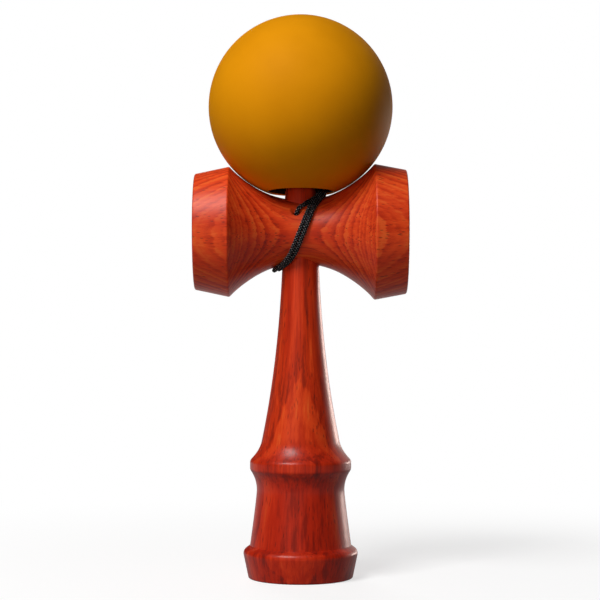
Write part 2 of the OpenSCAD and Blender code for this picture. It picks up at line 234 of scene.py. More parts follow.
def rounded(a, b, c, radius):
    """The arc that rounds the corner b of the outline a, b, c."""
    u, v = unit(a - b), unit(c - b)
    half = math.acos(u @ v) / 2
    middle = b + unit(u + v) * radius / math.sin(half)
    p = b + u * radius / math.tan(half) - middle
    q = b + v * radius / math.tan(half) - middle
    start = math.atan2(p[1], p[0])
    turn = math.atan2(p[0] * q[1] - p[1] * q[0], p @ q)
    return arc(middle, radius, start, start + turn, EDGE_STEPS)


def cap_radius(mouth, depth):
    """Radius of the ball that cuts a cup of this mouth radius and depth."""
    return (mouth ** 2 + depth ** 2) / (2 * depth)


def cup(mouth, depth, face, way):
    """Outline of a round cup from the middle of its floor to its lip. It opens towards way, +1 or -1."""
    radius = cap_radius(mouth, depth)
    half = math.asin(mouth / radius)
    centre = point(0, face + way * (radius - depth))
    return arc(centre, radius, -way * math.pi / 2, -way * (math.pi / 2 - half))


def filled(points):
    """The outline with points added evenly on every stretch that is longer than the longest step."""
    gaps = np.linalg.norm(np.diff(points, axis=0), axis=1)
    counts = np.maximum(np.ceil(gaps / LONGEST_STEP).astype(int), 1)
    which = np.repeat(np.arange(len(gaps)), counts)
    place = np.arange(counts.sum()) - np.repeat(np.cumsum(counts) - counts, counts)
    inner = mix(points[which], points[which + 1], (place / counts[which])[:, None])
    return np.vstack([inner, points[-1:]])


def turned_to(axis):
    """A turn, as three columns, that takes Z to this axis and keeps X as near as it can."""
    z = unit(np.array(axis, float))
    side = point(1, 0, 0) if abs(z[0]) < NEAR_X else point(0, 1, 0)
    x = unit(side - z * (side @ z))
    return np.stack([x, np.cross(z, x), z], 1)


def linked(name, data):
    """A new object at the origin that holds this mesh, lamp or camera."""
    holder = bpy.data.objects.new(name, data)
    bpy.context.scene.collection.objects.link(holder)
    return holder


def cleaned(mesh):
    """Merges doubled points, turns the faces outwards and shades the mesh smooth but for its corners."""
    work = bmesh.new()
    work.from_mesh(mesh)
    bmesh.ops.remove_doubles(work, verts=work.verts, dist=MERGE_GAP)
    bmesh.ops.dissolve_degenerate(work, dist=SLIVER, edges=work.edges)
    bmesh.ops.recalc_face_normals(work, faces=work.faces)
    work.to_mesh(mesh)
    work.free()
    mesh.shade_smooth()
    mesh.set_sharp_from_angle(angle=SHARP_ANGLE)


def grid_faces(rows, columns, rows_close):
    """Four-sided faces of a grid whose columns close into rings, and its rows too if rows_close."""
    i, j = np.meshgrid(np.arange(rows if rows_close else rows - 1), np.arange(columns), indexing="ij")
    here, above = i * columns, (i + 1) % rows * columns
    onward = (j + 1) % columns
    return np.stack([here + j, here + onward, above + onward, above + j], -1).reshape(-1, 4)


def turned(name, outline, axis=(0, 0, 1), origin=(0, 0, 0), closed=False, sides=SIDES):
    """A turned shape. Each outline point (r, h) goes round the axis: r cosine a, r sine a, h."""
    outline = filled(np.vstack([outline, outline[:1]]) if closed else outline)
    if closed:
        outline = outline[:-1]
    a = np.arange(sides) * 2 * math.pi / sides
    r, h = outline[:, :1], outline[:, 1:]
    grid = np.stack(np.broadcast_arrays(r * np.cos(a), r * np.sin(a), h), -1)
    points = grid.reshape(-1, 3) @ turned_to(axis).T + point(*origin)
    mesh = bpy.data.meshes.new(name)
    mesh.from_pydata(points, [], grid_faces(len(outline), sides, closed))
    cleaned(mesh)
    return linked(name, mesh)


def cut(piece, cutters):
    """Takes the cutters away from the piece, leaves the result as its mesh and deletes the cutters."""
    for cutter in cutters:
        step = piece.modifiers.new("cut", "BOOLEAN")
        step.object = cutter
        step.solver = "EXACT"
    graph = bpy.context.evaluated_depsgraph_get()
    mesh = bpy.data.meshes.new_from_object(piece.evaluated_get(graph))
    piece.modifiers.clear()
    piece.data = mesh
    for cutter in cutters:
        bpy.data.objects.remove(cutter)
    cleaned(mesh)


# Wooden pieces

def ken_outline():
    """Outline (r, z) of the handle from the cup's floor down, round the base and up to the tip."""
    stand, ring, foot = point(BASE_R, 0), point(*BASE_RING), point(BODY_FOOT_R, BASE_H)
    waist, shaft, seat, neck = point(*BODY_WAIST), point(*SHAFT_FOOT), point(*SEAT), point(*NECK)
    lip = point(BASE_R - BASE_EDGE - BASE_LIP, 0)
    hollow = cup(lip[0], BASE_CUP_DEPTH, 0, -1)
    body_mid = point(waist[0], mix(BASE_H, waist[1], BODY_BEND_SHARE))
    cove_rise, cove_h = COLLAR_R - waist[0] - COLLAR_EDGE, COLLAR_Z - waist[1]
    cove_r = cap_radius(cove_h, cove_rise)
    cove = arc(waist + point(cove_r, 0), cove_r, math.pi, math.pi - math.asin(cove_h / cove_r))
    collar_low = point(COLLAR_R, COLLAR_Z + COLLAR_EDGE * math.sqrt((cove_r / cove_h) ** 2 - 1))
    collar_top = point(COLLAR_R, COLLAR_TOP_Z)
    flare_r = mix(shaft[0], collar_top[0], FLARE_BEND_SHARES[0])
    flare_mid = point(flare_r, mix(collar_top[1], shaft[1], FLARE_BEND_SHARES[1]))
    shaft_r = mix(seat[0], shaft[0], SHAFT_BEND_SHARES[0])
    shaft_mid = point(shaft_r, mix(shaft[1], seat[1], SHAFT_BEND_SHARES[1]))
    tip = point(0, TIP_Z - TIP_R)
    slope = math.atan2(neck[0] - TIP_R, tip[1] - neck[1])
    return np.vstack([
        hollow[:-1],
        rounded(hollow[-2], lip, stand, LIP_EDGE),
        rounded(lip, stand, ring, BASE_EDGE),
        rounded(stand, ring, foot, RING_EDGE),
        bend(foot, body_mid, waist),
        cove[1:],
        rounded(cove[-1], collar_low, collar_top, COLLAR_ROUND),
        rounded(collar_low, collar_top, flare_mid, COLLAR_ROUND),
        bend(collar_top, flare_mid, shaft)[COLLAR_SKIP:],
        bend(shaft, shaft_mid, seat)[1:],
        neck,
        arc(tip, TIP_R, slope, math.pi / 2),
    ])


def saddle_point(angle):
    """Outline points (r, x) of the saddle at these angles from the waist.

    It is an arc round a centre beside the waist. Towards the ball it swells by a bell curve of the
    angle, on either side of the waist.
    """
    swell = CONTACT_RISE * np.exp(-((np.abs(angle) - CONTACT_ANGLE) / CONTACT_SPREAD) ** 2)
    reach = SADDLE_R - swell
    return np.stack([WAIST_R + SADDLE_R - reach * np.cos(angle), reach * np.sin(angle)], -1)


def sarado_outline():
    """Outline (r, x) of the cross piece, from the floor of the small cup to the floor of the big one."""
    small_angle = math.acos(1 - (SMALL_SHOULDER_R - WAIST_R) / SADDLE_R)
    big_angle = math.acos(1 - (BIG_SHOULDER_R - WAIST_R) / SADDLE_R)
    trim = SHOULDER_TRIM / SADDLE_R
    small_rim, big_rim = point(SMALL_RIM_R, -SARADO_HALF), point(BIG_RIM_R, SARADO_HALF)
    small_lip = small_rim - point(RIM_EDGE + CUP_LIP, 0)
    big_lip = big_rim - point(RIM_EDGE + CUP_LIP, 0)
    small_cup = cup(small_lip[0], SMALL_CUP_DEPTH, -SARADO_HALF, -1)
    big_cup = cup(big_lip[0], BIG_CUP_DEPTH, SARADO_HALF, 1)
    saddle = saddle_point(np.linspace(trim - small_angle, big_angle - trim, SADDLE_STEPS))
    small_shoulder, big_shoulder = saddle_point(-small_angle), saddle_point(big_angle)
    return np.vstack([
        small_cup[:-1],
        rounded(small_cup[-2], small_lip, small_rim, LIP_EDGE),
        rounded(small_lip, small_rim, small_shoulder, RIM_EDGE),
        rounded(small_rim, small_shoulder, saddle[0], SHOULDER_EDGE),
        saddle,
        rounded(saddle[-1], big_shoulder, big_rim, SHOULDER_EDGE),
        rounded(big_shoulder, big_rim, big_lip, RIM_EDGE),
        rounded(big_rim, big_lip, big_cup[-2], LIP_EDGE),
        big_cup[-2::-1],
    ])


def ball_outline():
    """Outline (r, h) of the ball, closed: up its outside, over the string's mouth and down the holes."""
    rim_r = HOLE_R + HOLE_BEVEL
    rim_h = math.sqrt(BALL_R ** 2 - rim_r ** 2)
    end_h = HOLE_DEPTH - rim_h
    mouth_x = STRING_HOLE_R + MOUTH_R
    mouth_h = math.sqrt((BALL_R - MOUTH_R) ** 2 - mouth_x ** 2)
    stop = math.atan2(mouth_h, mouth_x)
    outside = arc(point(0, 0), BALL_R, math.atan2(-rim_h, rim_r), stop, BALL_STEPS)
    mouth = arc(point(mouth_x, mouth_h), MOUTH_R, stop, math.pi)
    inner = point(HOLE_R, HOLE_BEVEL - rim_h)
    cone_top, cone_low = point(HOLE_END_R, end_h), point(HOLE_R, end_h - HOLE_CONE)
    bottom = point(STRING_HOLE_R, end_h)
    return np.vstack([
        outside[1:],
        mouth[1:],
        rounded(mouth[-1], bottom, cone_top, HOLE_EDGE),
        rounded(bottom, cone_top, cone_low, HOLE_EDGE),
        rounded(cone_top, cone_low, inner, HOLE_EDGE),
        rounded(cone_low, inner, outside[0], HOLE_RIM_EDGE),
        rounded(inner, outside[0], outside[2], HOLE_RIM_EDGE),
    ])


def bead_outline():
    """Outline (r, h) of the bead, closed: its side is an arc, and its bore has round edges."""
    bulge_r = cap_radius(BEAD_H / 2, BEAD_R - BEAD_END_R)
    bulge = math.asin(BEAD_H / 2 / bulge_r)
    side = arc(point(BEAD_R - bulge_r, 0), bulge_r, -bulge, bulge)
    low, high = point(STRING_BORE_R, -BEAD_H / 2), point(STRING_BORE_R, BEAD_H / 2)
    return np.vstack([
        side,
        rounded(side[-1], high, low, BEAD_EDGE),
        rounded(high, low, side[0], BEAD_EDGE),
    ])


# Lines of the string

def over(angle, power):
    """A share that is 1 at the top of a turn and 0 on its lower half, sharper with a higher power."""
    return np.maximum(np.sin(np.radians(angle)), 0) ** power


def under(angle, power):
    """The same for the bottom of a turn."""
    return np.maximum(-np.sin(np.radians(angle)), 0) ** power


def waist_radius(x):
    """Radius of the cross piece at x on its saddle, without the swell towards the ball."""
    return WAIST_R + SADDLE_R - np.sqrt(SADDLE_R ** 2 - x ** 2)


# One turn moves on by the width of the string, measured square to its slant in front
WIND_LINE_R = WAIST_R + WIND_R
TURN_STEP = (CORD_D + STRAND_GAP) * math.hypot(SWING, WIND_LINE_R) / WIND_LINE_R


def turn_shift(angle):
    """Place along X of the middle of a turn, which moves on by one step a turn."""
    return FRONT_X + TURN_STEP * (angle / 360 - 1)


# How far the turns step aside to pass the handle, over the top and under the bottom
TOP_ASIDE = NECK[0] + PASS_GAP + CORD_D / 2 - (turn_shift(FIRST_TOP) + SWING)
LOW_ASIDE = SEAT[0] + PASS_GAP + CORD_D / 2 + (turn_shift(LAST_BOTTOM) - SWING)


def turn_line(angle):
    """Place along X: a sine of the angle, which steps aside for the handle at the top and the bottom."""
    swing = SWING * np.sin(np.radians(angle))
    aside = TOP_ASIDE * over(angle, ASIDE_POWER) - LOW_ASIDE * under(angle, ASIDE_POWER)
    return turn_shift(angle) + swing + aside


def on_waist(x, radius, angle):
    """A point at x and this radius from the cross piece's axis. Angle 0 is the front and 90 the top."""
    a = np.radians(angle)
    return np.stack(np.broadcast_arrays(x, -radius * np.cos(a), SARADO_Z + radius * np.sin(a)), -1)


def wound(angle):
    """The string on the waist. Over the top its passes draw together and the middle one climbs on them."""
    angle = np.asarray(angle, float)
    turn = np.floor(angle / 360)
    left = np.maximum(LEAD_IN_END - angle, 0) / (LEAD_IN_END - EXIT_ANGLE)
    x = turn_line(angle) - (turn_line(EXIT_ANGLE) - EXIT_X) * left ** 2
    x = x - TURN_STEP * math.cos(NEST_ANGLE) * turn * over(angle, NEST_POWER)
    climb = np.where(turn == 1, TURN_STEP * math.sin(NEST_ANGLE) * over(angle, CLIMB_POWER), 0)
    return on_waist(x, waist_radius(x) + WIND_R + climb, angle)


def seat_radius(z):
    """Radius of the handle's tapered seat at this height."""
    return np.interp(z, (SEAT[1], NECK[1]), (SEAT[0], NECK[0]))


# Where the string is held: in the cross piece beside the handle, and under the bead on the ball's axis
ANCHOR_Z = SARADO_Z + ANCHOR_RISE
ANCHOR_OUT = float(seat_radius(ANCHOR_Z)) + SEAT_GAP + KNOT_GAP + ANCHOR_KNOT_R
ANCHOR = point(EXIT_X, -math.sqrt(ANCHOR_OUT ** 2 - EXIT_X ** 2), ANCHOR_Z)
EXIT = on_waist(EXIT_X, waist_radius(EXIT_X) + WIND_R, EXIT_ANGLE)
STRING_DIR = unit(EXIT - ANCHOR)
BALL_AXIS = point(0, math.sin(BALL_LEAN), math.cos(BALL_LEAN))
BEAD_TOP = HOLE_DEPTH - math.sqrt(BALL_R ** 2 - (HOLE_R + HOLE_BEVEL) ** 2) - KNOT_GAP
KNOT_H = BEAD_TOP - BEAD_H - KNOT_GAP - math.sqrt(BEAD_KNOT_R ** 2 - STRING_BORE_R ** 2)


def on_axis(h):
    """A point on the ball's axis, h from the ball's centre."""
    return point(0, 0, BALL_Z) + BALL_AXIS * h


def distances(line):
    """How far along the line each of its points lies."""
    return np.concatenate([[0], np.cumsum(np.linalg.norm(np.diff(line, axis=0), axis=1))])


def even(line):
    """Points at even distances along a line, about one step of the braid apart."""
    far = distances(line)
    at = np.linspace(0, far[-1], max(int(round(far[-1] / BRAID_STEP)), 2) + 1)
    return np.stack([np.interp(at, far, line[:, k]) for k in range(3)], 1)


def eased(line, rounds):
    """The line with its corners eased: each inner point moves to the mean of itself and its neighbours."""
    for _ in range(rounds):
        line = np.vstack([line[:1], (line[:-2] + 2 * line[1:-1] + line[2:]) / 4, line[-1:]])
    return line


def through(points):
    """A smooth curve through the points: between two of them, a cubic with the slopes at both."""
    p = np.vstack([2 * points[0] - points[1], points, 2 * points[-1] - points[-2]])
    a, b, c, d = (p[k:len(p) - 3 + k, None] for k in range(4))
    t = (np.arange(ROUTE_STEPS) / ROUTE_STEPS)[None, :, None]
    straight = (c - a) * t / 2
    bent = (2 * a - 5 * b + 4 * c - d) * t ** 2 / 2
    eased_in = (3 * (b - c) + d - a) * t ** 3 / 2
    return np.vstack([(b + straight + bent + eased_in).reshape(-1, 3), points[-1:]])


def winding_line():
    """From the knot in the cross piece out through its hole, and two and a bit turns round the waist."""
    turns = wound(np.linspace(WIND_FROM, WIND_TO, WIND_STEPS))
    start = turns[0] - unit(turns[1] - turns[0]) * CORD_D
    end = turns[-1] + unit(turns[-1] - turns[-2]) * CORD_D
    first = ANCHOR + STRING_DIR * math.sqrt(ANCHOR_KNOT_R ** 2 - (CORD_D / 2) ** 2)
    lead = bend(EXIT - STRING_DIR * LEAD_BEND, EXIT, start)
    return np.vstack([first, lead, turns, end])


def knot_line(centre, way, radius, thick):
    """An overhand knot that fills a ball: it winds twice round a ring and three times through it.

    As t goes once round, the line's angle is 2t, its distance from the axis is the ring's radius plus
    a cosine of 3t, and its height is a sine of 3t.
    """
    t = np.linspace(KNOT_OPENING, 2 * math.pi - KNOT_OPENING, KNOT_STEPS)
    coil = thick * KNOT_COIL
    out = radius - thick / 2 - coil + coil * np.cos(3 * t)
    rise = (radius - thick / 2) * KNOT_HEIGHT
    knot = np.stack([out * np.cos(2 * t), out * np.sin(2 * t), rise * np.sin(3 * t)], 1)
    return centre + knot @ turned_to(way).T


# Holes in the cross piece

def seat_cut():
    """The tapered bore for the handle: a cone a little wider than the handle's seat."""
    low_r, high_r = SEAT[0] + SEAT_GAP, NECK[0] + SEAT_GAP
    return turned("seat_cut", np.array([(0, SEAT[1]), (low_r, SEAT[1]), (high_r, NECK[1]), (0, NECK[1])]))


def string_cut():
    """The string's way out: a round place for the knot, a bore and a mouth that widens at the waist."""
    mouth = float(np.linalg.norm(EXIT - ANCHOR)) - WIND_R
    side = math.acos(STRING_BORE_R / POCKET_R)
    outline = np.vstack([
        arc(point(0, 0), POCKET_R, -math.pi / 2, side, POCKET_STEPS),
        (STRING_BORE_R, mouth - SINK_W),
        (STRING_BORE_R + SINK_W + OVERRUN, mouth + OVERRUN),
        (0, mouth + OVERRUN),
    ])
    return turned("string_cut", outline, axis=STRING_DIR, origin=ANCHOR, sides=CUT_SIDES)


def pocket_cut():
    """The knot's way in: a round bore from the handle's seat to the knot's place."""
    outline = np.array([(0, 0), (POCKET_R, 0), (POCKET_R, -ANCHOR[1]), (0, -ANCHOR[1])])
    return turned("pocket_cut", outline, axis=(0, 1, 0), origin=ANCHOR, sides=CUT_SIDES)


# Braided string

def across_line(line, side):
    """Two directions square to the line at each point. The first is what is left of side."""
    ways = unit(np.gradient(line, axis=0))
    across = unit(side - ways * np.sum(side * ways, axis=1, keepdims=True))
    return across, np.cross(ways, across)


def braid(far, a):
    """How high the braid stands, 0 to 1, and which strand lies on top, at distance far and angle a.

    Two families of strands wind opposite ways. Where two cross, the upper one is a hump: a cosine
    across it, flatter along it, and the families take turns to be on top.
    """
    turn = CARRIERS * a / (2 * math.pi)
    one, two = turn + far / PICK, turn - far / PICK
    u, v = one - np.floor(one) - 0.5, two - np.floor(two) - 0.5
    on_top = (np.floor(one) + np.floor(two)) % 2 == 0
    across, along = np.where(on_top, u, v), np.where(on_top, v, u)
    height = np.cos(math.pi * across) * np.cos(math.pi * along) ** HUMP_POWER
    strand = np.where(on_top, np.floor(one) % CARRIERS, CARRIERS + np.floor(two) % CARRIERS)
    return height, strand


def braided(name, line, diameter=CORD_D, side=(1, 0, 0)):
    """A braided tube along the line: rings round it, whose radius follows the height of the braid.

    Its strands rise a little over the radius and dip between each other. Each point of the mesh keeps
    the braid's height and a value for its strand, from which the material paints highlights on the crests
    and shade between them.
    """
    across, up = across_line(line, np.asarray(side, float))
    a = (np.arange(BRAID_SIDES) * 2 * math.pi / BRAID_SIDES)[None, :]
    height, strand = braid(distances(line)[:, None], a)
    radius = (diameter / 2 + BRAID_RISE - BRAID_DEPTH * (1 - height))[..., None]
    ways = across[:, None] * np.cos(a)[..., None] + up[:, None] * np.sin(a)[..., None]
    rings = line[:, None] + radius * ways
    points = np.vstack([rings.reshape(-1, 3), line[:1], line[-1:]])
    count, ring = len(line) * BRAID_SIDES, np.arange(BRAID_SIDES)
    after, last = (ring + 1) % BRAID_SIDES, count - BRAID_SIDES
    start_cap = np.stack([np.full(BRAID_SIDES, count), after, ring], 1)
    end_cap = np.stack([np.full(BRAID_SIDES, count + 1), last + ring, last + after], 1)
    sides = grid_faces(len(line), BRAID_SIDES, False)
    mesh = bpy.data.meshes.new(name)
    mesh.from_pydata(points, [], sides.tolist() + start_cap.tolist() + end_cap.tolist())
    mesh.shade_smooth()
    shades = np.random.default_rng(BRAID_SEED).random(2 * CARRIERS)
    for key, values in (("strand", shades[strand.astype(int)]), ("height", height)):
        values = np.append(values, [CAP_VALUE, CAP_VALUE]).astype(np.float32)
        mesh.attributes.new(key, "FLOAT", "POINT").data.foreach_set("value", values)
    return linked(name, mesh)


# Finishes. A noise has a stretch on each axis, a detail and a roughness, and a ramp has stops

WHITE = (1, 1, 1, 1)
TO_MM = (1000, 1000, 1000)
NOISE_SPAN = (0.2, 0.8)

# Figure of the wood, per millimetre across and along the log
DRIFT_NOISE = ((0.05, 0.05, 0.007), 2.0, 0.5)
STREAK_NOISE = ((0.5, 0.5, 0.012), 4.0, 0.6)
FIBRE_NOISE = ((1.5, 1.5, 0.035), 4.0, 0.65)
PATCH_NOISE = ((0.3, 0.3, 0.03), 2.0, 0.5)
HEARTWOOD_NOISE = ((0.1, 0.1, 0.006), 2.0, 0.5)
PORE_CELLS = (1.5, 1.5, 0.2)
BAND_DETAIL = {"Scale": 1.0, "Detail": 2.0, "Roughness": 0.55}
STREAK_BEND = 0.4
BAND_PACE = 0.7
BAND_GAIN = 3.3
FIBRE_GAIN = 0.7
LATE_START = 0.3
LATE_PEAK = 0.88
PORE_EDGE = (0.3, 0.1)
PATCH_EDGE = (0.42, 0.62)
HEARTWOOD_EDGE = (0.4, 0.65)

# How each piece lies in its log, and how its rings show
KEN_RINGS = {"Ring width": 3.4, "Wander": 3.5, "Ring depth": 0.16, "Streaks": 1.0, "Base tone": 0.60}
SARADO_RINGS = {"Ring width": 1.05, "Wander": 2.0, "Ring depth": 0.25, "Streaks": 0.85, "Base tone": 0.83}
HOLE_RINGS = {"Ring width": 2.4, "Wander": 3.0, "Ring depth": 0.3, "Streaks": 0.8, "Base tone": 0.68}
KEN_LOG = {"turn": (0.03, -0.02, 0), "heart": (-3, -34, 0), "grain": (0, 0, 1)}
SARADO_LOG = {"turn": (0, -math.pi / 2, 0), "heart": (114.7, -30, 0), "grain": (1, 0, 0)}
HOLE_HEART = (9, -14, 0)
KEN_DEEP = (60, 28, 0.9)
SARADO_DEEP = (0, 1, 0)
KEN_SHEEN = 0.27
SARADO_SHEEN = 0.42

# Oiled red wood
PADAUK = [
    (0.0, (0.150, 0.012, 0.005)),
    (0.28, (0.350, 0.023, 0.006)),
    (0.52, (0.640, 0.042, 0.007)),
    (0.78, (0.820, 0.074, 0.012)),
    (1.0, (0.880, 0.130, 0.022)),
]
HEARTWOOD_SHARE = 0.55
HEARTWOOD_AND_LOW_TINT = (0.78, 0.46, 0.62, 1)
PORE_SHARE = 0.75
PORE_COLOUR = (0.060, 0.010, 0.006, 1)
END_GRAIN_SHARE = 0.45
END_GRAIN_TINT = (0.30, 0.028, 0.010, 1)
WOOD_ROUGH = 0.34
FIBRE_ROUGH = 0.14
PORE_ROUGH = 0.2
FIBRE_RELIEF = 0.3
WOOD_BUMP = (0.5, 0.00005)
WOOD_SPECULAR = 0.15
OIL_WEIGHT = 0.3

# Painted ball, and the bare wood in its holes, darkened nearly to black as painted shade
AMBER = [(0.25, (0.74, 0.282, 0.0025)), (0.75, (0.80, 0.312, 0.0035))]
SHADED_BARE_WOOD = [(0.2, (0.020, 0.010, 0.005)), (0.9, (0.050, 0.026, 0.012))]
PAINT_CLOUD = ((60, 60, 60), 3.0)
PAINT_EDGE_NOISE = ((700, 700, 700),)
PAINT_GRAIN = ((3200, 3200, 3200),)
PAINT_RAGGED = 0.0006
PAINT_FADE = (0.0295, 0.0300)
PAINT_ROUGH = (0.52, 0.62)
PAINT_BUMP = (0.12, 0.00004)
PAINT_SPECULAR = 0.03

# Bead
CREAM = [(0.3, (0.72, 0.64, 0.50)), (0.7, (0.82, 0.76, 0.64))]
CREAM_CLOUD = ((400, 400, 400), 3.0)
CREAM_GRAIN = ((4000, 4000, 4000),)
CREAM_ROUGH = (0.3, 0.42)
CREAM_BUMP = (0.15, 0.00003)

# String: painted highlights on the strands' crests, and painted shade between them
NYLON_STRAND_HIGHLIGHTS = [(0.0, (0.11, 0.12, 0.14)), (0.75, (0.23, 0.24, 0.265)), (1.0, (0.38, 0.39, 0.42))]
NYLON_GROOVE_SHADE = (0.0012, 0.0012, 0.0015, 1)
NYLON_HIGHLIGHT_TOPS = (0.66, 0.95)
FILAMENT_NOISE = ((9000, 9000, 9000),)
NYLON_ROUGH = (0.34, 0.5)
NYLON_DULL = 0.5
NYLON_BUMP = (0.3, 0.00003)
NYLON_SPECULAR = 0.12


class Nodes:
    """Adds nodes to one shader tree. A number, a colour or another node's socket can feed an input."""

    def __init__(self, tree):
        self.tree = tree

    def add(self, kind, feeds=None, **settings):
        """A new node of this kind with these settings and inputs."""
        node = self.tree.nodes.new("ShaderNode" + kind)
        for key, value in settings.items():
            setattr(node, key, value)
        for key, value in (feeds or {}).items():
            self.feed(node.inputs[key], value)
        return node

    def feed(self, socket, value):
        """Links a socket to an input, or sets the input to a plain value."""
        if isinstance(value, bpy.types.NodeSocket):
            self.tree.links.new(value, socket)
        else:
            socket.default_value = value

    def maths(self, operation, *values):
        """The result of one Math node."""
        return self.add("Math", dict(enumerate(values)), operation=operation).outputs[0]

    def total(self, *values):
        """The sum of the values."""
        result = values[0]
        for value in values[1:]:
            result = self.maths("ADD", result, value)
        return result

    def about_half(self, value, gain):
        """How far a noise lies over or under a half, times gain."""
        return self.maths("MULTIPLY", self.maths("SUBTRACT", value, 0.5), gain)

    def stretch(self, vector, factors):
        """The vector with each of its parts multiplied."""
        return self.add("VectorMath", {0: vector, 1: factors}, operation="MULTIPLY").outputs[0]

    def noise(self, vector, factors, detail=2.0, roughness=0.5):
        """A noise, drawn out by these factors."""
        drawn = self.stretch(vector, factors)
        feeds = {"Vector": drawn, "Scale": 1.0, "Detail": detail, "Roughness": roughness}
        return self.add("TexNoise", feeds).outputs["Fac"]

    def spread(self, value, low, high, to_low=0.0, to_high=1.0):
        """A smooth step from to_low to to_high as the value goes from low to high."""
        feeds = {"Value": value, "From Min": low, "From Max": high, "To Min": to_low, "To Max": to_high}
        return self.add("MapRange", feeds, interpolation_type="SMOOTHSTEP").outputs["Result"]

    def colour(self, share, a, b, blend="MIX"):
        """The colour a with this share of b on it."""
        node = self.add("Mix", data_type="RGBA", blend_type=blend)
        for index, value in ((0, share), (6, a), (7, b)):
            self.feed(node.inputs[index], value)
        return node.outputs[2]

    def ramp(self, value, stops):
        """A colour that eases from stop to stop as the value rises."""
        node = self.add("ValToRGB", {"Fac": value})
        node.color_ramp.interpolation = "EASE"
        while len(node.color_ramp.elements) < len(stops):
            node.color_ramp.elements.new(0.5)
        for element, (place, colour) in zip(node.color_ramp.elements, stops):
            element.position = place
            element.color = (*colour, 1)
        return node.outputs["Color"]

    def group(self, tree, feeds):
        """The outputs of a group that is placed with these inputs."""
        return self.add("Group", feeds, node_tree=tree).outputs

    def bump(self, shader, height, strength, distance):
        """Gives the shader a fine relief."""
        node = self.add("Bump", {"Strength": strength, "Distance": distance, "Height": height})
        self.feed(shader.inputs["Normal"], node.outputs["Normal"])

    def rays(self):
        """Two masks: rays straight from the camera, and rays that a surface mirrors or lets through."""
        path = self.add("LightPath").outputs
        mirrored = self.maths("MAXIMUM", path["Is Glossy Ray"], path["Is Transmission Ray"])
        return path["Is Camera Ray"], mirrored


def new_group(name, inputs, outputs):
    """A shader group with these sockets, given as names and kinds. Gives its nodes and its two ends."""
    tree = bpy.data.node_groups.new(name, "ShaderNodeTree")
    for way, sockets in (("INPUT", inputs), ("OUTPUT", outputs)):
        for socket, kind in sockets.items():
            tree.interface.new_socket(name=socket, in_out=way, socket_type="NodeSocket" + kind)
    n = Nodes(tree)
    return n, tree.nodes.new("NodeGroupInput").outputs, tree.nodes.new("NodeGroupOutput").inputs


def wood_figure():
    """Grain of a log that lies along Z with its heart on the axis, in millimetres.

    Rings are bands of the distance from the axis, which wanders. Streaks, fibres and pores are
    noises drawn out along the log.
    """
    n, given, put = new_group(
        "wood_figure",
        {"Vector": "Vector", "Ring width": "Float", "Wander": "Float", "Ring depth": "Float",
         "Streaks": "Float", "Base tone": "Float"},
        {"Tone": "Float", "Fibre": "Float", "Pores": "Float", "Heartwood": "Float"})
    log = given["Vector"]
    radius = n.add("VectorMath", {0: n.stretch(log, (1, 1, 0))}, operation="LENGTH").outputs["Value"]
    streak = n.noise(log, *STREAK_NOISE)
    fibre = n.noise(log, *FIBRE_NOISE)
    drift = n.total(n.noise(log, *DRIFT_NOISE), n.about_half(streak, STREAK_BEND))
    rings = n.maths("DIVIDE", n.total(radius, n.about_half(drift, given["Wander"])), given["Ring width"])
    band = n.add("TexNoise", {"W": rings, **BAND_DETAIL}, noise_dimensions="1D").outputs["Fac"]
    saw = n.maths("FRACT", n.total(n.maths("MULTIPLY", rings, BAND_PACE), band))
    late = n.maths("MULTIPLY", n.spread(saw, LATE_START, LATE_PEAK), n.spread(saw, 1.0, LATE_PEAK))
    ringed = n.maths("SUBTRACT", n.about_half(band, BAND_GAIN), late)
    tone = n.total(
        n.maths("MULTIPLY", ringed, given["Ring depth"]),
        given["Base tone"],
        n.about_half(streak, given["Streaks"]),
        n.about_half(fibre, FIBRE_GAIN))
    cells = n.add("TexVoronoi", {"Vector": n.stretch(log, PORE_CELLS), "Scale": 1.0}).outputs["Distance"]
    patchy = n.spread(n.noise(log, *PATCH_NOISE), *PATCH_EDGE)
    pores = n.maths("MULTIPLY", n.spread(cells, *PORE_EDGE), patchy)
    heartwood = n.spread(n.noise(log, *HEARTWOOD_NOISE), *HEARTWOOD_EDGE)
    for name, value in (("Tone", tone), ("Fibre", fibre), ("Pores", pores), ("Heartwood", heartwood)):
        n.feed(put[name], value)
    return n.tree


def bare_material(name):
    """A material without nodes. Gives the material and what adds its nodes."""
    material = bpy.data.materials.new(name)
    material.use_nodes = True
    material.node_tree.nodes.clear()
    return material, Nodes(material.node_tree)


def new_material(name):
    """A material with its shader and output. Gives the material, its nodes and the Principled shader."""
    material, n = bare_material(name)
    shader = n.add("BsdfPrincipled")
    n.add("OutputMaterial", {"Surface": shader.outputs["BSDF"]})
    return material, n, shader


